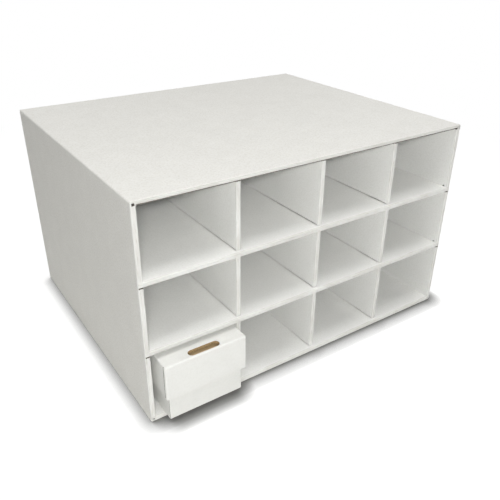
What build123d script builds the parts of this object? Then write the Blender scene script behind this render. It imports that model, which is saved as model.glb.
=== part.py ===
# Card cabinet of folded corrugated board: rows of open compartments, and one lidded drawer box in the
# lowest left-hand one. Millimetres, +Z up, front towards -Y, origin at the middle of the cabinet's foot.
import os

from build123d import *

# Corrugated board
board = 3.2
plies = 2
wall = plies * board
fold_radius = 2.0
nose_radius = 1.8
crease_width = 3.0
crease_depth = 0.2

# Drawer box
drawer_inner_width = 90.8
drawer_height = 80.0
drawer_standout = 18.0
drawer_back_gap = 0.4
lid_clearance = 0.8
flap_height = 46.0
skirt_height = 45.0
lid_corner_gap = 0.9
slot_length = 40.0
slot_width = 10.0
slot_setback = 2.4
front_plies = 4
notch_length = 46.0
notch_depth = 4.0

# Cabinet, whose compartments take the drawer box with room to spare, most of it at the left
side_clearance = 0.8
column_slacks = [6.4, 3.2, 3.2, 0.0]
row_headrooms = [7.0, 1.5, 2.5]
case_depth = 386.0
corner_hole = 3.0
corner_hole_depth = 12.0

# Joints of the shelves and dividers
lap_clearance = 0.5
ear_depth = 40.0
ear_skin = 0.8
ear_drop = 0.8
ear_eye = 2.4
ear_eye_setback = 4.5
divider_setback = 4.0
tab_length = 60.0
tab_clearance = 0.2
tab_place_shares = [0.25, 0.75]

# How far a cutting shape reaches past what it cuts, and the angle at which two folded panels meet
overrun = 5.0
mitre = 45
level_turn = (0, 90, 0)
upright_turn = (0, 0, 0)

# Sizes and places that follow
crease_radius = (crease_width**2 / 4 + crease_depth**2) / (2 * crease_depth)
tray_width = drawer_inner_width + 2 * board
lid_overhang = board + lid_clearance
lid_width = tray_width + 2 * lid_overhang
column_widths = [lid_width + 2 * side_clearance + slack for slack in column_slacks]
columns = len(column_widths)
row_heights = [drawer_height + headroom for headroom in row_headrooms]
rows = len(row_heights)
case_width = sum(column_widths) + (columns + 1) * wall
case_height = sum(row_heights) + (rows + 1) * wall
half_width = case_width / 2
inner_half_width = half_width - wall
front = -case_depth / 2
back = case_depth / 2
inner_back = back - wall
lap_middle = (front + inner_back) / 2
ceiling = case_height - wall
divider_places = [-half_width + sum(column_widths[:n]) + n * wall + wall / 2 for n in range(1, columns)]
shelf_floors = [sum(row_heights[:row]) + row * wall for row in range(1, rows)]
tab_places = [front + share * (inner_back - front) for share in tab_place_shares]


# A box between two opposite corners, in either order
def block(one, other):
    size = [abs(b - a) for a, b in zip(one, other)]
    middle = [(a + b) / 2 for a, b in zip(one, other)]
    return Pos(*middle) * Box(*size)


def flat_prism(points, bottom, top):
    outline = make_face(Polyline(*points, close=True))
    return Pos(0, 0, bottom) * extrude(outline, amount=top - bottom)


# The shallow hollow between the two score lines of a sheet folded onto itself, along X or upright
def nose_crease(place, nose, level, turn):
    hollow = Rot(*turn) * Cylinder(crease_radius, case_width + 2 * overrun)
    return Pos(place, nose - crease_radius + crease_depth, level) * hollow


# A box folded from one sheet, open at its top, taken apart at its creases into a base and four walls.
# The base and the walls meet on mitres. With a corner gap the end walls cover the ends of the side walls.
def folded_box(width, length, height, thickness, rim_radius=0, corner_gap=0, side_height=0):
    half_x = width / 2
    half_y = length / 2
    outer = Pos(0, 0, height / 2) * Box(width, length, height)
    rim_edges = outer.faces().sort_by(Axis.Z)[-1].edges()
    creases = [edge for edge in outer.edges() if edge not in rim_edges]
    cavity = block(
        (-half_x + thickness, -half_y + thickness, thickness),
        (half_x - thickness, half_y - thickness, height + overrun),
    )
    shell = fillet(creases, fold_radius) - cavity
    if rim_radius:
        shell = fillet(shell.faces().sort_by(Axis.Z)[-1].edges(), rim_radius)

    top = height + overrun
    reach = thickness + overrun
    wide_foot = Rectangle(width + 2 * overrun, length + 2 * overrun)
    base_sector = Pos(0, 0, -overrun) * extrude(wide_foot, amount=reach, taper=mitre)
    panels = {"base": shell & base_sector}
    for name, sign in (("left", -1), ("right", 1)):
        outer_x = sign * (half_x + overrun)
        inner_x = sign * (half_x - reach)
        if corner_gap:
            end = half_y - thickness - corner_gap
            corners = [(outer_x, -end), (outer_x, end), (inner_x, end), (inner_x, -end)]
        else:
            wide = half_y + overrun
            narrow = half_y - reach
            corners = [(outer_x, -wide), (outer_x, wide), (inner_x, narrow), (inner_x, -narrow)]
        side_top = side_height if side_height else top
        panels[name] = (shell & flat_prism(corners, -overrun, side_top)) - base_sector
    for name, sign in (("near", -1), ("far", 1)):
        outer_y = sign * (half_y + overrun)
        if corner_gap:
            side = half_x + overrun
            inner_y = sign * (half_y - thickness)
            corners = [(-side, outer_y), (side, outer_y), (side, inner_y), (-side, inner_y)]
        else:
            wide = half_x + overrun
            narrow = half_x - reach
            inner_y = sign * (half_y - reach)
            corners = [(-wide, outer_y), (wide, outer_y), (narrow, inner_y), (-narrow, inner_y)]
        panels[name] = (shell & flat_prism(corners, -overrun, top)) - base_sector
    return panels


# The cabinet's case, lying on its back while it is folded, with rolled front edges
def make_case():
    upright = Pos(0, back, case_height / 2) * Rot(90, 0, 0)
    folded = folded_box(case_width, case_height, case_depth, wall, rim_radius=nose_radius)
    parts = {
        "case_back_wall": upright * folded["base"],
        "case_left_wall": upright * folded["left"],
        "case_right_wall": upright * folded["right"],
        "case_bottom_wall": upright * folded["near"],
        "case_top_wall": upright * folded["far"],
    }
    hole = Box(corner_hole, 2 * corner_hole_depth, corner_hole)
    corner_holes = [
        Pos(side * (half_width - wall / 2), front, level) * hole
        for side in (-1, 1)
        for level in (wall / 2, case_height - wall / 2)
    ]
    for name in parts:
        if name != "case_back_wall":
            parts[name] = parts[name] - corner_holes
    for name, side in (("case_left_wall", -1), ("case_right_wall", 1)):
        crease = nose_crease(side * (half_width - wall / 2), front, case_height / 2, upright_turn)
        parts[name] = parts[name] - crease - ear_slots(side)
    parts["case_bottom_wall"] = parts["case_bottom_wall"] - nose_crease(0, front, wall / 2, level_turn)

    # The top's inner ply stops short of the front, level with the dividers, so its edge shows one ply
    lining_end = front + divider_setback
    rebate = block(
        (-inner_half_width, front - overrun, ceiling - overrun),
        (inner_half_width, lining_end, ceiling + board),
    )
    parts["case_top_wall"] = parts["case_top_wall"] - rebate
    for name, level in (("case_bottom_wall", wall), ("case_top_wall", ceiling)):
        parts[name] = parts[name] - [
            divider_tab(place, middle, level, tab_clearance)
            for place in divider_places
            for middle in tab_places
        ]
    parts["case_back_wall"] = parts["case_back_wall"] - [
        shelf_tab(bay, low, tab_clearance) for low in shelf_floors for bay in shelf_tab_places()
    ]
    return parts


# The slots in a side wall's front edge that take the ears of the shelves
def ear_slots(side):
    inner = side * inner_half_width
    outer = side * (half_width - ear_skin)
    eye_end = side * (inner_half_width + board)
    cuts = []
    for low in shelf_floors:
        top = low + wall
        end = front + ear_depth + lap_clearance
        cuts.append(block((inner, front - overrun, low - ear_drop), (outer, end, top)))
        eye_start = front + ear_eye_setback
        cuts.append(block((inner, eye_start, top), (eye_end, eye_start + ear_eye, top + ear_eye)))
    return cuts


# A tab on a divider's top or bottom edge, one ply deep, grown by a clearance where it is used as a slot
def divider_tab(place, middle, level, clearance=0):
    side = wall / 2 + clearance
    end = tab_length / 2 + clearance
    deep = board + clearance
    return block((place - side, middle - end, level - deep), (place + side, middle + end, level + deep))


# The outer columns' middles, where a shelf has a tab on its back edge
def shelf_tab_places():
    return [-inner_half_width + column_widths[0] / 2, inner_half_width - column_widths[-1] / 2]


def shelf_tab(bay, low, clearance=0):
    side = tab_length / 2 + clearance
    start = inner_back - board - clearance
    end = inner_back + board + clearance
    return block((bay - side, start, low - clearance), (bay + side, end, low + wall + clearance))


# A shelf: one sheet folded at its front edge, slotted from the back for the dividers
def make_shelf(low):
    top = low + wall
    ear_end = half_width - ear_skin
    sheet_end = inner_half_width - lap_clearance
    sheet = block((-sheet_end, front, low), (sheet_end, inner_back, top))
    sheet = sheet + block((-ear_end, front, low), (ear_end, front + ear_depth, top))
    sheet = fillet(sheet.edges().filter_by(Axis.X).group_by(Axis.Y)[0], nose_radius)
    sheet = sheet - nose_crease(0, front, low + wall / 2, level_turn)
    sheet = sheet + [shelf_tab(bay, low) for bay in shelf_tab_places()]
    half_slot = wall / 2 + lap_clearance
    return sheet - [
        block(
            (place - half_slot, lap_middle - lap_clearance, low - overrun),
            (place + half_slot, inner_back + overrun, top + overrun),
        )
        for place in divider_places
    ]


# A divider: one sheet folded at its front edge, slotted from the front for the shelves
def make_divider(place):
    side = wall / 2
    nose = front + divider_setback
    foot = wall + lap_clearance
    head = ceiling - lap_clearance
    sheet = block((place - side, nose, foot), (place + side, inner_back, head))
    sheet = fillet(sheet.edges().filter_by(Axis.Z).group_by(Axis.Y)[0], nose_radius)
    sheet = sheet - nose_crease(place, nose, case_height / 2, upright_turn)
    sheet = sheet + [divider_tab(place, middle, level) for middle in tab_places for level in (wall, ceiling)]
    return sheet - [
        block(
            (place - side - overrun, nose - overrun, low - lap_clearance),
            (place + side + overrun, lap_middle, low + wall + lap_clearance),
        )
        for low in shelf_floors
    ]


# The drawer box: a tray and a loose lid whose flaps hang outside the tray. It stands against the divider.
def make_drawer():
    drawer_front = front - drawer_standout
    drawer_back = inner_back - drawer_back_gap
    middle_x = -inner_half_width + column_widths[0] - side_clearance - lid_width / 2
    middle_y = (drawer_front + drawer_back) / 2
    lid_length = drawer_back - drawer_front
    tray_length = lid_length - 2 * lid_overhang
    tray = folded_box(tray_width, tray_length, drawer_height - board, board)
    lid = folded_box(
        lid_width,
        lid_length,
        flap_height,
        board,
        corner_gap=lid_corner_gap,
        side_height=skirt_height,
    )
    tray_place = Pos(middle_x, middle_y, wall)
    lid_place = Pos(middle_x, middle_y, wall + drawer_height) * Rot(180, 0, 0)
    parts = {
        "tray_floor": tray_place * tray["base"],
        "tray_left_side": tray_place * tray["left"],
        "tray_right_side": tray_place * tray["right"],
        "tray_front": tray_place * tray["near"],
        "tray_back": tray_place * tray["far"],
        "lid_top": lid_place * lid["base"],
        "lid_left_skirt": lid_place * lid["left"],
        "lid_right_skirt": lid_place * lid["right"],
        "lid_front_flap": lid_place * lid["far"],
        "lid_back_flap": lid_place * lid["near"],
    }

    # The tray's front is rolled over into several plies, because it takes the pull
    tray_front = drawer_front + lid_overhang
    lining_end = tray_front + front_plies * board
    lid_under = wall + drawer_height - board
    half_lining = drawer_inner_width / 2 - lap_clearance
    parts["tray_front"] = parts["tray_front"] + block(
        (middle_x - half_lining, tray_front + board, wall + board),
        (middle_x + half_lining, lining_end, lid_under),
    )

    # The finger slot lies along the lid's front fold, over a shallow notch in the tray's front
    slot_middle = drawer_front + slot_setback + slot_width / 2
    slot = extrude(SlotOverall(slot_length, slot_width), amount=board + 2 * overrun)
    slot = Pos(middle_x, slot_middle, lid_under - overrun) * slot
    for name in ("lid_top", "lid_front_flap"):
        parts[name] = parts[name] - slot
    parts["tray_front"] = parts["tray_front"] - block(
        (middle_x - notch_length / 2, tray_front - overrun, lid_under - notch_depth),
        (middle_x + notch_length / 2, lining_end + overrun, lid_under + overrun),
    )
    return parts


shapes = make_case()
for name, low in zip(("lower_shelf", "upper_shelf"), shelf_floors):
    shapes[name] = make_shelf(low)
for name, place in zip(("left_divider", "middle_divider", "right_divider"), divider_places):
    shapes[name] = make_divider(place)
shapes.update(make_drawer())

os.makedirs("parts", exist_ok=True)
for name, shape in shapes.items():
    export_step(shape, f"parts/{name}.step")
    box = shape.bounding_box()
    print(name, len(shape.solids()), "solid", [round(v, 1) for v in box.size])
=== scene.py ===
# Card cabinet of folded white corrugated board with one lidded drawer box, around its CAD frame.
import math

import bpy
from mathutils import Matrix, Vector


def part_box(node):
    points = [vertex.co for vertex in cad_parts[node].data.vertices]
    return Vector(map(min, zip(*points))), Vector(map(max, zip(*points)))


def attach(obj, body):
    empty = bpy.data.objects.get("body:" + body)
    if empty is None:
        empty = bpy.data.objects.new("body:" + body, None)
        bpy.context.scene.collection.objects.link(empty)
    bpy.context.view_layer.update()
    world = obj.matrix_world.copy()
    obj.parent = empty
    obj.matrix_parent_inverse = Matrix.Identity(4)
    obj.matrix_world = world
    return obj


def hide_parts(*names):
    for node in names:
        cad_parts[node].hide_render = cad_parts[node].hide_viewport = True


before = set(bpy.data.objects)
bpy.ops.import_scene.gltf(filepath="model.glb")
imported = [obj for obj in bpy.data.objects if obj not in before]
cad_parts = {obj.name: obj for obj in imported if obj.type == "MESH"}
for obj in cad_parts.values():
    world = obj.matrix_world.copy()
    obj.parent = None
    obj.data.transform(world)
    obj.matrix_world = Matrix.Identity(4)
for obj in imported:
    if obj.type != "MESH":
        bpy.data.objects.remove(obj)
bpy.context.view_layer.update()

# Camera, at the place and angle the photograph was taken from
cameraSetup = {
    "eye": (-0.41491, -0.65684, 0.49149),
    "turn": -34.083,  # degrees, negative stands to the left
    "tilt": 28.555,  # degrees down from level
    "roll": 0.504,
    "lens": 41.23,  # mm
    "sensor": 36.0,  # mm across
    "nearest": 0.01,  # m, where the view begins
}


def setCamera(setup):
    bpy.ops.object.select_all(action="DESELECT")
    bpy.ops.object.camera_add()
    camera = bpy.context.object
    camera.name = "photoCamera"
    camera.data.sensor_width = setup["sensor"]
    camera.data.lens = setup["lens"]
    camera.data.clip_start = setup["nearest"]
    aim = Matrix.Rotation(math.radians(setup["turn"]), 4, "Z")
    aim = aim @ Matrix.Rotation(math.radians(90.0 - setup["tilt"]), 4, "X")
    aim = aim @ Matrix.Rotation(math.radians(setup["roll"]), 4, "Z")
    camera.matrix_world = Matrix.Translation(setup["eye"]) @ aim
    bpy.context.scene.camera = camera


setCamera(cameraSetup)
print("camera set")


# Materials: one function turns sRGB hex to linear, one adds a node with its settings and links
def fromHex(code):
    parts = [int(code[place:place + 2], 16) / 255 for place in (1, 3, 5)]
    linear = [part / 12.92 if part <= 0.04045 else ((part + 0.055) / 1.055) ** 2.4 for part in parts]
    return (*linear, 1.0)


def addNode(tree, kind, inputs=None, **settings):
    node = tree.nodes.new(kind)
    for name, value in settings.items():
        setattr(node, name, value)
    for name, value in (inputs or {}).items():
        if isinstance(value, bpy.types.NodeSocket):
            tree.links.new(value, node.inputs[name])
        else:
            node.inputs[name].default_value = value
    return node


# Where a Mix node keeps its two colours and the blend of them, among its sockets
mixFrom, mixTo, mixOut = 6, 7, 2


def newMaterial(name):
    material = bpy.data.materials.new(name)
    material.use_nodes = True
    tree = material.node_tree
    tree.nodes.clear()
    return material, tree


millimetres = 1000.0  # in a metre
waveTurn = 2 * math.pi / 20  # m that one band of a Wave node takes at scale 1


# How many noise cells or wave bands fit in a metre, for a pattern of this size in millimetres
def noiseScale(size):
    return millimetres / size


def bandScale(pitch):
    return waveTurn * millimetres / pitch


whiteBoard = {
    # sheet, cloudy patch and fibre speck: the case's outside is the warmest, its insides most neutral
    "outside": ("#EFEEE9", "#ECEBE6", "#D6D3CA"),
    "inside": ("#F2F2EF", "#F0F0ED", "#D9D8D2"),
    "drawer": ("#E9E9E5", "#E7E7E3", "#D3D2CB"),
    "formation": 24.0,  # mm, cloudiness of the sheet
    "cloudSpan": (0.35, 0.65),  # part of the noise that runs from clear to cloudy
    "fibreSize": 2.0,  # mm, drawn coarser than real fibres so that it shows
    "speckSpan": (0.42, 0.72),
    "speckle": {"outside": 0.5, "inside": 0.3, "drawer": 0.16},  # how strongly it shows
    "flutePitch": 6.5,  # mm, crest to crest
    "fluteRise": 0.00002,  # m, washboard left by the fluting
    "tooth": 0.00005,  # m, rise of the paper's fibres
    "toothStrength": 0.25,
    "roughness": 0.8,
    "ior": 1.45,
    "shine": 0.2,
}


# Clay-coated white liner glued over fluting: nearly flat white, a little cloudy, flutes just showing
def makeWhiteBoard(name, tint, fluteAxis, look=whiteBoard):
    material, tree = newMaterial(name)
    bright, dull, fibre = (fromHex(code) for code in look[tint])
    clear, clouded = look["cloudSpan"]
    plain, specked = look["speckSpan"]
    place = addNode(tree, "ShaderNodeTexCoord").outputs["Object"]
    cloud = addNode(tree, "ShaderNodeTexNoise", {
        "Vector": place, "Scale": noiseScale(look["formation"]), "Detail": 3.0, "Roughness": 0.55})
    grain = addNode(tree, "ShaderNodeTexNoise", {
        "Vector": place, "Scale": noiseScale(look["fibreSize"]), "Detail": 2.0, "Roughness": 0.6})
    cloudy = addNode(tree, "ShaderNodeMapRange", {
        "Value": cloud.outputs["Fac"], "From Min": clear, "From Max": clouded})
    sheet = addNode(tree, "ShaderNodeMix", {
        "Factor": cloudy.outputs["Result"], mixFrom: dull, mixTo: bright},
        data_type="RGBA")
    specks = addNode(tree, "ShaderNodeMapRange", {
        "Value": grain.outputs["Fac"], "From Min": plain, "From Max": specked,
        "To Max": look["speckle"][tint]})
    colour = addNode(tree, "ShaderNodeMix", {
        "Factor": specks.outputs["Result"], mixFrom: sheet.outputs[mixOut], mixTo: fibre},
        data_type="RGBA")
    flutes = addNode(tree, "ShaderNodeTexWave", {
        "Vector": place, "Scale": bandScale(look["flutePitch"]), "Distortion": 0.0},
        wave_type="BANDS", bands_direction=fluteAxis, wave_profile="SIN")
    washboard = addNode(tree, "ShaderNodeBump", {
        "Height": flutes.outputs["Fac"], "Strength": 1.0, "Distance": look["fluteRise"]})
    tooth = addNode(tree, "ShaderNodeBump", {
        "Height": grain.outputs["Fac"], "Strength": look["toothStrength"], "Distance": look["tooth"],
        "Normal": washboard.outputs["Normal"]})
    shader = addNode(tree, "ShaderNodeBsdfPrincipled", {
        "Base Color": colour.outputs[mixOut], "Roughness": look["roughness"], "IOR": look["ior"],
        "Specular IOR Level": look["shine"], "Normal": tooth.outputs["Normal"]})
    addNode(tree, "ShaderNodeOutputMaterial", {"Surface": shader.outputs["BSDF"]})
    return material


shadedScoredFold = {
    # sheet and where it is rubbed, both greyer than the board as painted shade: on a plain fold, and
    # darker still as painted shade on the front below the crest of the top's front edge
    "plain": ("#E4E4E0", "#DBDAD5"),
    "under": ("#D6D6D1", "#CDCCC6"),
    "crack": "#BDB8AD",
    "rubLength": 30.0,  # mm, patches rubbed by hands and boxes
    "rubSpan": (0.4, 0.65),  # part of the noise that runs from fresh to rubbed
    "crackLength": 14.0,  # mm along the fold
    "crackWidth": 0.7,  # mm, drawn wider than real hairlines so that they show
    "crackSpan": (0.6, 0.72),
    "crackStrength": 0.6,
    "tooth": 0.0001,  # m, depth of the cracks
    "toothStrength": 0.3,
    "roughness": 0.7,
    "ior": 1.45,
    "shine": 0.3,
}


# White liner stretched round a fold: greyer than the sheet as painted shade, rubbed in patches, with
# hairline cracks along the score
def makeShadedScoredFold(name, tint, along, look=shadedScoredFold):
    material, tree = newMaterial(name)
    fresh, worn = (fromHex(code) for code in look[tint])
    untouched, rubbedBare = look["rubSpan"]
    whole, split = look["crackSpan"]
    place = addNode(tree, "ShaderNodeTexCoord").outputs["Object"]
    stretch = [1.0, 1.0, 1.0]
    stretch["XYZ".index(along)] = look["crackWidth"] / look["crackLength"]
    drawn = addNode(tree, "ShaderNodeMapping", {"Vector": place, "Scale": stretch})
    hairs = addNode(tree, "ShaderNodeTexNoise", {
        "Vector": drawn.outputs["Vector"], "Scale": noiseScale(look["crackWidth"]), "Detail": 2.0})
    rub = addNode(tree, "ShaderNodeTexNoise", {
        "Vector": place, "Scale": noiseScale(look["rubLength"]), "Detail": 3.0})
    rubbed = addNode(tree, "ShaderNodeMapRange", {
        "Value": rub.outputs["Fac"], "From Min": untouched, "From Max": rubbedBare})
    sheet = addNode(tree, "ShaderNodeMix", {
        "Factor": rubbed.outputs["Result"], mixFrom: fresh, mixTo: worn},
        data_type="RGBA")
    cracked = addNode(tree, "ShaderNodeMapRange", {
        "Value": hairs.outputs["Fac"], "From Min": whole, "From Max": split,
        "To Max": look["crackStrength"]})
    colour = addNode(tree, "ShaderNodeMix", {
        "Factor": cracked.outputs["Result"], mixFrom: sheet.outputs[mixOut],
        mixTo: fromHex(look["crack"])},
        data_type="RGBA")
    tooth = addNode(tree, "ShaderNodeBump", {
        "Height": hairs.outputs["Fac"], "Strength": look["toothStrength"], "Distance": look["tooth"]})
    shader = addNode(tree, "ShaderNodeBsdfPrincipled", {
        "Base Color": colour.outputs[mixOut], "Roughness": look["roughness"], "IOR": look["ior"],
        "Specular IOR Level": look["shine"], "Normal": tooth.outputs["Normal"]})
    addNode(tree, "ShaderNodeOutputMaterial", {"Surface": shader.outputs["BSDF"]})
    return material


kraftBoard = {
    "paper": "#C0A67E",
    "pale": "#CDB68F",
    "dark": "#9A7D55",
    "streak": 9.0,  # mm, length of the fibre streaks along the sheet
    "streakWidth": 1.1,  # mm
    "streakSpan": (0.3, 0.7),  # part of the noise that runs from paper to pale streak
    "shives": 0.9,  # mm, dark specks of wood
    "shiveSpan": (0.64, 0.74),
    "shiveStrength": 0.7,
    "tooth": 0.0001,  # m, rise of the streaks
    "toothStrength": 0.3,
    "roughness": 0.85,
    "ior": 1.45,
    "shine": 0.2,
}


# Unbleached kraft liner: brown, dull, streaked along the web and flecked with darker wood
def makeKraftBoard(name, look=kraftBoard):
    material, tree = newMaterial(name)
    even, streaked = look["streakSpan"]
    clean, flecked = look["shiveSpan"]
    place = addNode(tree, "ShaderNodeTexCoord").outputs["Object"]
    along = addNode(tree, "ShaderNodeMapping", {
        "Vector": place, "Scale": (1.0, look["streakWidth"] / look["streak"], 1.0)})
    streaks = addNode(tree, "ShaderNodeTexNoise", {
        "Vector": along.outputs["Vector"], "Scale": noiseScale(look["streakWidth"]), "Detail": 3.0})
    flecks = addNode(tree, "ShaderNodeTexNoise", {
        "Vector": place, "Scale": noiseScale(look["shives"]), "Detail": 1.0})
    streaky = addNode(tree, "ShaderNodeMapRange", {
        "Value": streaks.outputs["Fac"], "From Min": even, "From Max": streaked})
    paper = addNode(tree, "ShaderNodeMix", {
        "Factor": streaky.outputs["Result"], mixFrom: fromHex(look["paper"]),
        mixTo: fromHex(look["pale"])},
        data_type="RGBA")
    fleck = addNode(tree, "ShaderNodeMapRange", {
        "Value": flecks.outputs["Fac"], "From Min": clean, "From Max": flecked,
        "To Max": look["shiveStrength"]})
    colour = addNode(tree, "ShaderNodeMix", {
        "Factor": fleck.outputs["Result"], mixFrom: paper.outputs[mixOut],
        mixTo: fromHex(look["dark"])},
        data_type="RGBA")
    tooth = addNode(tree, "ShaderNodeBump", {
        "Height": streaks.outputs["Fac"], "Strength": look["toothStrength"], "Distance": look["tooth"]})
    shader = addNode(tree, "ShaderNodeBsdfPrincipled", {
        "Base Color": colour.outputs[mixOut], "Roughness": look["roughness"], "IOR": look["ior"],
        "Specular IOR Level": look["shine"], "Normal": tooth.outputs["Normal"]})
    addNode(tree, "ShaderNodeOutputMaterial", {"Surface": shader.outputs["BSDF"]})
    return material


cutEdge = {
    # paper, torn fibres and the hollows between them, the hollows painted darker as shade
    "brown": ("#B29870", "#C8AF89", "#7E6644"),
    "grey": ("#77726A", "#918C83", "#504C46"),
    "fuzz": 0.8,  # mm, torn fibres of the die-cut
    "shadeOfHollowsAt": 0.3,  # places of the three colours along the noise
    "paperAt": 0.48,
    "tornAt": 0.72,
    "tooth": 0.0002,  # m, depth of the fuzz
    "toothStrength": 0.5,
    "roughness": 0.95,
    "shine": 0.15,
}


# Die-cut edge of the board: bare fluting paper, fuzzy where the knife tore it, with painted shade in
# the hollows between the torn fibres
def makeCutEdge(name, tint, look=cutEdge):
    material, tree = newMaterial(name)
    paper, tornFibre, shadeOfHollows = (fromHex(code) for code in look[tint])
    place = addNode(tree, "ShaderNodeTexCoord").outputs["Object"]
    fuzz = addNode(tree, "ShaderNodeTexNoise", {
        "Vector": place, "Scale": noiseScale(look["fuzz"]), "Detail": 3.0, "Roughness": 0.65})
    torn = addNode(tree, "ShaderNodeValToRGB", {"Fac": fuzz.outputs["Fac"]})
    first, last = torn.color_ramp.elements
    first.position = look["shadeOfHollowsAt"]
    first.color = shadeOfHollows
    last.position = look["tornAt"]
    last.color = tornFibre
    torn.color_ramp.elements.new(look["paperAt"]).color = paper
    tooth = addNode(tree, "ShaderNodeBump", {
        "Height": fuzz.outputs["Fac"], "Strength": look["toothStrength"], "Distance": look["tooth"]})
    shader = addNode(tree, "ShaderNodeBsdfPrincipled", {
        "Base Color": torn.outputs["Color"], "Roughness": look["roughness"],
        "Specular IOR Level": look["shine"], "Normal": tooth.outputs["Normal"]})
    addNode(tree, "ShaderNodeOutputMaterial", {"Surface": shader.outputs["BSDF"]})
    return material


whites = {}


# The white board of one part of the object, with its flutes spread along one axis
def whiteFor(tint, axis):
    if (tint, axis) not in whites:
        whites[tint, axis] = makeWhiteBoard(f"clayCoatedBoard_{tint}_{axis}", tint, axis)
    return whites[tint, axis]


kraft = makeKraftBoard("unbleachedKraftLiner")
brownCut = makeCutEdge("dieCutKraftFluting", "brown")
# Grey fluting: bare cut board, drawn darker as painted shade for the gaps, joints and the line under
# the top's edge
greyFlutingAndShade = makeCutEdge("greyFlutingDarkenedAsShade", "grey")
# Fold finishes: greyer than the board as painted shade, with rubbing and cracks; the one under the
# top's crest darker still
shadedFoldAlong = {axis: makeShadedScoredFold("shadedScoredFold_" + axis, "plain", axis) for axis in "XZ"}
foldShadeUnderCrest = makeShadedScoredFold("shadedScoredFold_under", "under", "X")
print("materials: kraft liner, cut edges, scored folds")

# Working steps shared by the pieces
working = {
    "merge": 0.000002,  # m, corners nearer than this become one
    "level": 0.5,  # degrees, neighbours this nearly in line become one face
    "smooth": 28.0,  # degrees, edges sharper than this stay hard
    "square": 0.99,  # cosine of a face that looks straight along an axis
    "near": 0.0001,  # m, how close to a plane counts as on it
    "roundEdge": 0.0021,  # m, reach of the rounded edges of the double sheets
    "lean": 0.02,  # least lean towards a side, as a cosine, for a face to belong to it
}


# Selects these pieces and nothing else, the last one active
def pickOnly(*pieces):
    bpy.ops.object.select_all(action="DESELECT")
    for piece in pieces:
        piece.select_set(True)
    bpy.context.view_layer.objects.active = pieces[-1]


def startEdit(piece):
    pickOnly(piece)
    bpy.ops.object.mode_set(mode="EDIT")


def endEdit():
    bpy.ops.object.mode_set(mode="OBJECT")


# Leaves the piece in edit mode with only the faces picked whose middle and normal pass the test
def pickFaces(piece, test):
    startEdit(piece)
    bpy.ops.mesh.select_mode(type="FACE")
    bpy.ops.mesh.select_all(action="DESELECT")
    endEdit()
    picked = 0
    for face in piece.data.polygons:
        face.select = test(face.center, face.normal)
        picked += face.select
    bpy.ops.object.mode_set(mode="EDIT")
    return picked


# A copy of a CAD panel to work on: loose triangles merged, each flat face made whole again
def copyPanel(node):
    panel = bpy.data.objects.new(node + "_board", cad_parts[node].data.copy())
    bpy.context.scene.collection.objects.link(panel)
    startEdit(panel)
    bpy.ops.mesh.select_all(action="SELECT")
    bpy.ops.mesh.remove_doubles(threshold=working["merge"])
    bpy.ops.mesh.dissolve_limited(angle_limit=math.radians(working["level"]))
    endEdit()
    bpy.ops.mesh.customdata_custom_splitnormals_clear()
    return panel


# How far a face leans outwards to be white, inwards to be kraft or to an end, as cosines
drawerSides = {"white": 0.12, "kraft": -0.9, "end": 0.5}


# Gives faces a finish by their normal: white outside, kraft inside, bare fluting on the cut edges.
# The lid's end flaps have their short ends wrapped in the white liner, and the tray's rolled front
# shows its kraft side along the top, under the finger slot. The ends of the side panels are painted
# grey as shade, standing for the dark gap beside the flaps.
def paintPanel(panel, outward, white, wrapped, rolled, sides=drawerSides):
    whiteSlot, kraftSlot, brownSlot, endShadeSlot = range(4)
    panel.data.materials.clear()
    for finish in (white, kraft, brownCut, greyFlutingAndShade):
        panel.data.materials.append(finish)
    for face in panel.data.polygons:
        facing = face.normal.dot(outward)
        finish = brownSlot
        if facing > sides["white"]:
            finish = whiteSlot
        elif facing < sides["kraft"]:
            finish = kraftSlot
        if wrapped and abs(face.normal.x) > sides["end"]:
            finish = whiteSlot
        if rolled and face.normal.z > sides["end"]:
            finish = kraftSlot
        # Painted shade: the ends of the sides take the grey cut finish, standing for the dark gap
        # beside the flaps
        if abs(outward.x) > sides["end"] and abs(face.normal.y) > sides["end"]:
            finish = endShadeSlot
        face.material_index = finish


boardBuild = {
    "liner": 0.0004,  # m, thickness of a liner
    "recess": 0.0025,  # how far in the cut edge is open between its liners
    "pitch": whiteBoard["flutePitch"] / millimetres,  # the same flutes that show through the liner
    "medium": 0.00025,  # thickness of the fluting paper
    "steps": 10,  # facets in one flute
    "shy": 0.0002,  # how far the fluting stops short of the knife line
    "join": 0.00001,  # flutes whose ends are this near become one strip
}


# Opens a cut edge between its two liners, and returns the box of the open groove
def openEdge(panel, test, build=boardBuild):
    if not pickFaces(panel, test):
        endEdit()
        print("no cut edge found on", panel.name)
        return None
    inward = {"value": -build["recess"]}
    bpy.ops.mesh.inset(thickness=build["liner"], depth=0.0, use_even_offset=True)
    bpy.ops.mesh.extrude_region_shrink_fatten(TRANSFORM_OT_shrink_fatten=inward)
    endEdit()
    mesh = panel.data
    spots = [mesh.vertices[i].co for face in mesh.polygons if face.select for i in face.vertices]
    low = Vector([min(spot[axis] for spot in spots) for axis in range(3)])
    high = Vector([max(spot[axis] for spot in spots) for axis in range(3)])
    return low, high


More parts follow.
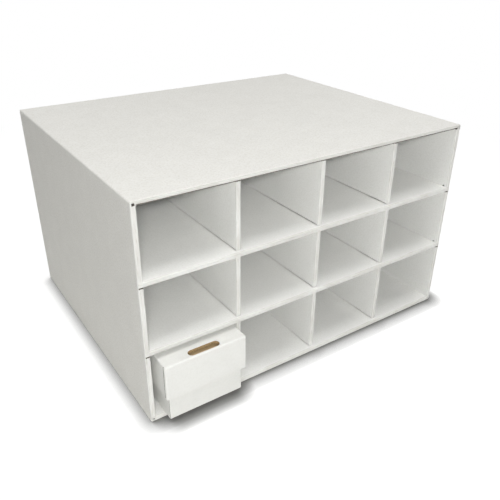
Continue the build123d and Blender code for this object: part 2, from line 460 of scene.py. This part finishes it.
# One flute of the medium, repeated along a groove, given its thickness and joined to the panel
def fillFlutes(panel, groove, along, across, normal, build=boardBuild):
    low, high = groove
    pitch = build["pitch"]
    length = high[along] - low[along]
    gap = high[across] - low[across]
    count = int(length / pitch)
    bpy.ops.object.select_all(action="DESELECT")
    bpy.ops.mesh.primitive_grid_add(x_subdivisions=build["steps"], y_subdivisions=1, size=1.0)
    strip = bpy.context.object
    depth = build["recess"] - build["shy"]
    rise = (gap - build["medium"]) / 2
    for vertex in strip.data.vertices:
        turn = vertex.co.x + 0.5
        height = math.sin(2 * math.pi * turn) * rise
        vertex.co = (turn * pitch, height, (vertex.co.y + 0.5) * depth)
    bpy.ops.object.modifier_add(type="ARRAY")
    repeat = strip.modifiers[-1]
    repeat.count = count
    repeat.use_relative_offset = False
    repeat.use_constant_offset = True
    repeat.constant_offset_displace = (pitch, 0, 0)
    repeat.use_merge_vertices = True
    repeat.merge_threshold = build["join"]
    bpy.ops.object.modifier_apply(modifier=repeat.name)
    bpy.ops.object.modifier_add(type="SOLIDIFY")
    paper = strip.modifiers[-1]
    paper.thickness = build["medium"]
    paper.offset = 0.0
    bpy.ops.object.modifier_apply(modifier=paper.name)

    # Set along the groove's floor, standing towards the knife line
    axes = [Vector((0, 0, 0)) for _ in range(3)]
    axes[0][along] = 1
    axes[2] = Vector(normal)
    axes[1] = axes[2].cross(axes[0])
    start = (low + high) / 2
    start[along] = (low[along] + high[along] - count * pitch) / 2
    stand = Matrix((axes[0], axes[1], axes[2])).transposed().to_4x4()
    strip.data.transform(Matrix.Translation(start) @ stand)
    strip.data.materials.append(brownCut)
    pickOnly(strip, panel)
    bpy.ops.object.join()


def finishPanel(panel, node, body):
    pickOnly(panel)
    bpy.ops.object.shade_smooth_by_angle(angle=math.radians(working["smooth"]))
    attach(panel, body)
    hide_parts(node)


# Drawer box: outward side of each panel, the axis its flutes are spread along, and its cut edges.
# A cut edge gives the way it faces, and the axis its flutes show along, or None where it runs with
# them. The end flaps are wrapped at their short ends, and the tray's front is rolled.
drawerPanels = {
    "lid_top": {"outward": (0, 0, 1), "spread": "X", "cuts": []},
    "lid_left_skirt": {"outward": (-1, 0, 0), "spread": "Z", "cuts": [((0, 0, -1), None)]},
    "lid_right_skirt": {"outward": (1, 0, 0), "spread": "Z", "cuts": [((0, 0, -1), None)]},
    "lid_front_flap": {
        "outward": (0, -1, 0), "spread": "X", "cuts": [((0, 0, -1), 0)], "wrapped": True},
    "lid_back_flap": {
        "outward": (0, 1, 0), "spread": "X", "cuts": [((0, 0, -1), 0)], "wrapped": True},
    "tray_floor": {"outward": (0, 0, -1), "spread": "Y", "cuts": []},
    "tray_left_side": {"outward": (-1, 0, 0), "spread": "Y", "cuts": [((0, 0, 1), 1)]},
    "tray_right_side": {"outward": (1, 0, 0), "spread": "Y", "cuts": [((0, 0, 1), 1)]},
    "tray_front": {"outward": (0, -1, 0), "spread": "Z", "cuts": [], "rolled": True},
    "tray_back": {"outward": (0, 1, 0), "spread": "Z", "cuts": [((0, 0, 1), None)]},
}


def makeDrawerPanel(node, panelLook):
    panel = copyPanel(node)
    outward = Vector(panelLook["outward"])
    low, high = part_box(node)
    grooves = []
    for facing, spread in panelLook["cuts"]:
        facing = Vector(facing)
        axis = max(range(3), key=lambda i: abs(facing[i]))
        rim = high[axis] if facing[axis] > 0 else low[axis]

        def onRim(middle, normal):
            return normal.dot(facing) > working["square"] and abs(middle[axis] - rim) < working["near"]

        groove = openEdge(panel, onRim)
        if groove and spread is not None:
            grooves.append((groove, spread, facing))
    white = whiteFor("drawer", panelLook["spread"])
    paintPanel(panel, outward, white, panelLook.get("wrapped", False), panelLook.get("rolled", False))
    across = max(range(3), key=lambda i: abs(outward[i]))
    for groove, spread, facing in grooves:
        fillFlutes(panel, groove, spread, across, facing)
    part = "lid" if node.startswith("lid") else "tray"
    finishPanel(panel, node, "drawer_" + part)
    return panel


for node, panelLook in drawerPanels.items():
    made = makeDrawerPanel(node, panelLook)
    print("drawer panel:", made.name, len(made.data.polygons), "faces")

# Case: CAD panels, white outside and inside, bare grey fluting darkened as painted shade in slots,
# holes and cut ends.
# All are kept as they are but the top, whose outer sheet rolls softly over the front edge.
casePanels = {
    "case_back_wall": {"outward": (0, 1, 0), "spread": "X", "fold": "X"},
    "case_left_wall": {"outward": (-1, 0, 0), "spread": "Y", "fold": "Z"},
    "case_right_wall": {"outward": (1, 0, 0), "spread": "Y", "fold": "Z"},
    "case_bottom_wall": {"outward": (0, 0, -1), "spread": "X", "fold": "X"},
    "case_top_wall": {"outward": (0, 0, 1), "spread": "X", "fold": "X", "rolled": True},
}
rolledTop = {
    "depth": 0.006,  # m, how far back the roll begins
    "drop": 0.0008,  # how far the sheet has come down at the front
    "rows": 6,  # facets across the roll
    "ease": 0.016,  # length over which the roll dies out at each end
    "easeRows": 4,
    "skin": 0.002,  # how far below the top's face a point still belongs to the outer sheet
    # below this rise of the normal the front of the top's fold is painted darker as shade
    "crest": 0.87,  # normal's rise above which the front still looks like the flat sheet
    "ply": 0.0032,  # thickness of the one ply that shows at the front
    "lip": 0.0004,  # how far the fold bulges below that ply
    "lipDepth": 0.0035,  # how far back the bulge reaches
}


# Cuts rows across the front of the top, then lets the outer sheet sink towards the edge and the fold
# bulge a little below it
def makeRolledTop(node, look=rolledTop):
    panel = copyPanel(node)
    low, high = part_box(node)
    startEdit(panel)
    for row in range(1, look["rows"] + 1):
        place = (0, low.y + look["depth"] * row / look["rows"], 0)
        bpy.ops.mesh.select_all(action="SELECT")
        bpy.ops.mesh.bisect(plane_co=place, plane_no=(0, 1, 0))
    for row in range(1, look["easeRows"] + 1):
        inward = look["ease"] * row / look["easeRows"]
        for place in (low.x + inward, high.x - inward):
            bpy.ops.mesh.select_all(action="SELECT")
            bpy.ops.mesh.bisect(plane_co=(place, 0, 0), plane_no=(1, 0, 0))
    endEdit()
    for vertex in panel.data.vertices:
        spot = vertex.co
        forward = 1 - (spot.y - low.y) / look["depth"]
        ease = min(1.0, (spot.x - low.x) / look["ease"], (high.x - spot.x) / look["ease"])
        underPly = abs(spot.z - high.z + look["ply"]) < working["near"]
        if forward > 0 and spot.z > high.z - look["skin"]:
            spot.z -= look["drop"] * forward ** 2 * ease
        elif underPly and spot.y < low.y + look["lipDepth"]:
            spot.z -= look["lip"] * ease
    return panel


# Folds at the front greyed as painted shade, the top's fold darker again below its crest as painted
# shade; white on both sides of the sheet, bare fluting on what is left
def paintCasePanel(mesh, node, panelLook):
    outsideSlot, insideSlot, cutSlot, shadedFoldSlot, crestShadeSlot = range(5)
    low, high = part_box(node)
    outward = Vector(panelLook["outward"])
    flat = max(range(3), key=lambda i: abs(outward[i]))
    mesh.materials.clear()
    outside = whiteFor("outside", panelLook["spread"])
    inside = whiteFor("inside", panelLook["spread"])
    for finish in (outside, inside, greyFlutingAndShade, shadedFoldAlong[panelLook["fold"]], foldShadeUnderCrest):
        mesh.materials.append(finish)
    rolled = panelLook.get("rolled", False)
    edge, lean = working["roundEdge"], working["lean"]
    for face in mesh.polygons:
        fromSide = min(face.center[flat] - low[flat], high[flat] - face.center[flat])
        finish = cutSlot
        # Front folds take the fold finish, greyer than the sheet as painted shade
        if face.center.y < low.y + edge and face.normal.y < -lean:
            finish = shadedFoldSlot
            # On the rolled top, the face below the crest is painted darker as shade
            if rolled:
                finish = outsideSlot if face.normal.z > rolledTop["crest"] else crestShadeSlot
        elif fromSide < edge and abs(face.normal[flat]) > lean:
            finish = outsideSlot if face.normal.dot(outward) > lean else insideSlot
        face.material_index = finish


for node, panelLook in casePanels.items():
    if panelLook.get("rolled"):
        made = makeRolledTop(node)
        paintCasePanel(made.data, node, panelLook)
        finishPanel(made, node, "cabinet")
    else:
        paintCasePanel(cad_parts[node].data, node, panelLook)
print("case panels painted:", len(casePanels))

# Shelves and dividers: flat axis of the sheet, the axis its cut edges face, where its flutes spread
# and the way its front fold runs
partitionPanels = {
    "lower_shelf": {"flat": 2, "cut": 0, "spread": "X", "fold": "X"},
    "upper_shelf": {"flat": 2, "cut": 0, "spread": "X", "fold": "X"},
    "left_divider": {"flat": 0, "cut": 2, "spread": "Z", "fold": "Z"},
    "middle_divider": {"flat": 0, "cut": 2, "spread": "Z", "fold": "Z"},
    "right_divider": {"flat": 0, "cut": 2, "spread": "Z", "fold": "Z"},
}
partitionCut = {
    # the crushed band is also painted dark as shade along the joints
    "crushedShadeBand": 0.0009,  # m, how far the die crushes the liner along a slot or an end
    "along": 0.9,  # cosine of an edge that runs from front to back
}


# Picks the outer edges along Y between a face of the sheet and a cut edge, ready to be bevelled
def pickCutEdges(panel, flat, cut):
    mesh = panel.data
    sides = {}
    for face in mesh.polygons:
        for key in face.edge_keys:
            sides.setdefault(key, []).append(face)
    picked = []
    for edge in mesh.edges:
        faces = sides.get(tuple(sorted(edge.vertices)), [])
        if len(faces) != 2:
            continue
        sheet, knife = sorted(faces, key=lambda face: abs(face.normal[cut]))
        one, two = (mesh.vertices[i].co for i in edge.vertices)
        along = one - two
        middle = (one + two) / 2
        onSheet = abs(sheet.normal[flat]) > working["square"]
        onKnife = abs(knife.normal[cut]) > working["square"]
        outer = (knife.center - middle).dot(sheet.normal) < 0
        if onSheet and onKnife and outer and abs(along.y) > partitionCut["along"] * along.length:
            picked.append(edge.index)
    return picked


def makePartition(node, panelLook):
    sheetSlot, cutSlot, shadedFoldSlot = range(3)
    panel = copyPanel(node)
    mesh = panel.data
    low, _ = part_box(node)
    flat = panelLook["flat"]
    edge, lean = working["roundEdge"], working["lean"]
    mesh.materials.clear()
    for finish in (whiteFor("inside", panelLook["spread"]), greyFlutingAndShade, shadedFoldAlong[panelLook["fold"]]):
        mesh.materials.append(finish)
    for face in mesh.polygons:
        # Front folds take the fold finish, greyer than the sheet as painted shade
        if face.center.y < low.y + edge and face.normal.y < -lean:
            face.material_index = shadedFoldSlot
        else:
            face.material_index = sheetSlot if abs(face.normal[flat]) > lean else cutSlot
    picked = pickCutEdges(panel, flat, panelLook["cut"])
    startEdit(panel)
    bpy.ops.mesh.select_mode(type="EDGE")
    bpy.ops.mesh.select_all(action="DESELECT")
    endEdit()
    for index in picked:
        mesh.edges[index].select = True
    bpy.ops.object.mode_set(mode="EDIT")
    # The bevel takes the grey cut finish: a crushed edge, drawn dark as painted shade along the joints
    bpy.ops.mesh.bevel(
        offset=partitionCut["crushedShadeBand"], segments=1, affect="EDGES", clamp_overlap=False, material=cutSlot)
    endEdit()
    finishPanel(panel, node, "cabinet")
    return panel, len(picked)


for node, panelLook in partitionPanels.items():
    made, count = makePartition(node, panelLook)
    print("partition:", made.name, count, "cut edges crushed")

# Studio: pale floor that stays white to the camera and keeps the shadow, white surround, plain lamps
studio = {
    "floorSize": 16.0,  # m
    "floorColour": "#F3F3F1",
    "shadeColour": "#747472",  # what the lamps' own shadows are drawn with, for the camera alone
    "glow": 0.9,  # lifts the floor to white
    "contactReach": 0.022,  # m, how far out the foot darkens the floor
    # the painted contact shadow is drawn as if its light came from this way, so the front and right are
    # darkest
    "contactFrom": (-0.4, 0.5, 0.77),
    "contactPower": 3.5,
    "contactRays": 24,
    "fadeStart": 0.55,  # m from the middle, where the floor begins to fade to plain white
    "fadeEnd": 1.1,
    "surround": 0.10,  # strength of the white surround as a light
    "plainWhite": 1.0,  # strength at which it looks white
    "aim": (0.0, -0.05, 0.14),
}
# Each lamp: place, size across in m and power in W
lamps = {
    "keyLeft": {"place": (-0.70, -1.193, 0.772), "size": 0.09, "power": 4.2},
    "keyFront": {"place": (-0.50, -1.193, 0.772), "size": 0.09, "power": 5.7},
    "highFront": {"place": (-0.60, -1.50, 1.90), "size": 0.8, "power": 2.5},
    "overhead": {"place": (-0.20, -0.50, 2.20), "size": 0.8, "power": 19.8},
    "backLeft": {"place": (-0.22, 1.90, 0.55), "size": 0.8, "power": 13.0},
    "backRight": {"place": (1.60, 0.90, 0.55), "size": 0.9, "power": 13.0},
}


# The plain background is what the camera sees, and what anything shiny or clear would show of it
def seenPlain(tree):
    ray = addNode(tree, "ShaderNodeLightPath")
    shiny = addNode(tree, "ShaderNodeMath", {
        0: ray.outputs["Is Glossy Ray"], 1: ray.outputs["Is Transmission Ray"]}, operation="MAXIMUM")
    seen = addNode(tree, "ShaderNodeMath", {
        0: ray.outputs["Is Camera Ray"], 1: shiny.outputs["Value"]}, operation="MAXIMUM")
    return seen.outputs["Value"]


# Matt floor for the light, and for the camera a white one with a painted contact shadow at the foot and
# the lamps' own shadow
def makeFloor(look):
    bpy.ops.object.select_all(action="DESELECT")
    bpy.ops.mesh.primitive_plane_add(size=look["floorSize"], location=(0, 0, 0))
    floor = bpy.context.object
    floor.name = "studioFloor"
    material, tree = newMaterial("paleStudioFloor")
    place = addNode(tree, "ShaderNodeTexCoord")
    away = addNode(tree, "ShaderNodeVectorMath", {0: place.outputs["Object"]}, operation="LENGTH")
    far = addNode(tree, "ShaderNodeMapRange", {
        "Value": away.outputs["Value"], "From Min": look["fadeStart"], "From Max": look["fadeEnd"]},
        interpolation_type="SMOOTHSTEP")
    lean = addNode(tree, "ShaderNodeCombineXYZ", dict(enumerate(look["contactFrom"])))
    # Painted contact shadow: occlusion round the foot lowers the floor's glow
    contact = addNode(tree, "ShaderNodeAmbientOcclusion", {
        "Distance": look["contactReach"], "Normal": lean.outputs["Vector"]},
        samples=look["contactRays"])
    firm = addNode(tree, "ShaderNodeMath", {
        0: contact.outputs["AO"], 1: look["contactPower"]}, operation="POWER")
    lift = addNode(tree, "ShaderNodeMath", {
        0: firm.outputs["Value"], 1: look["glow"]}, operation="MULTIPLY")
    surface = addNode(tree, "ShaderNodeBsdfDiffuse", {"Color": fromHex(look["floorColour"])})
    shade = addNode(tree, "ShaderNodeBsdfDiffuse", {"Color": fromHex(look["shadeColour"])})
    glow = addNode(tree, "ShaderNodeEmission", {"Strength": lift.outputs["Value"]})
    white = addNode(tree, "ShaderNodeEmission", {"Strength": look["plainWhite"]})
    near = addNode(tree, "ShaderNodeAddShader", {0: shade.outputs["BSDF"], 1: glow.outputs["Emission"]})
    seen = addNode(tree, "ShaderNodeMixShader", {
        0: far.outputs["Result"], 1: near.outputs["Shader"], 2: white.outputs["Emission"]})
    mixed = addNode(tree, "ShaderNodeMixShader", {
        0: seenPlain(tree), 1: surface.outputs["BSDF"], 2: seen.outputs["Shader"]})
    addNode(tree, "ShaderNodeOutputMaterial", {"Surface": mixed.outputs["Shader"]})
    floor.data.materials.append(material)


def makeSurround(look):
    world = bpy.data.worlds.new("whiteSurround")
    bpy.context.scene.world = world
    world.use_nodes = True
    tree = world.node_tree
    tree.nodes.clear()
    colour = (1, 1, 1, 1)
    fill = addNode(tree, "ShaderNodeBackground", {"Color": colour, "Strength": look["surround"]})
    white = addNode(tree, "ShaderNodeBackground", {"Color": colour, "Strength": look["plainWhite"]})
    mixed = addNode(tree, "ShaderNodeMixShader", {
        0: seenPlain(tree), 1: fill.outputs["Background"], 2: white.outputs["Background"]})
    addNode(tree, "ShaderNodeOutputWorld", {"Surface": mixed.outputs["Shader"]})


def setLamps(look):
    for name, lamp in lamps.items():
        bpy.ops.object.select_all(action="DESELECT")
        bpy.ops.object.light_add(type="AREA", location=lamp["place"])
        light = bpy.context.object
        light.name = name
        light.data.energy = lamp["power"]
        light.data.size = lamp["size"]
        light.visible_camera = False
        away = Vector(lamp["place"]) - Vector(look["aim"])
        light.rotation_euler = away.to_track_quat("Z", "Y").to_euler()


makeFloor(studio)
makeSurround(studio)
setLamps(studio)
bpy.context.scene.view_settings.view_transform = "Standard"
print("studio set:", len(lamps), "lamps")
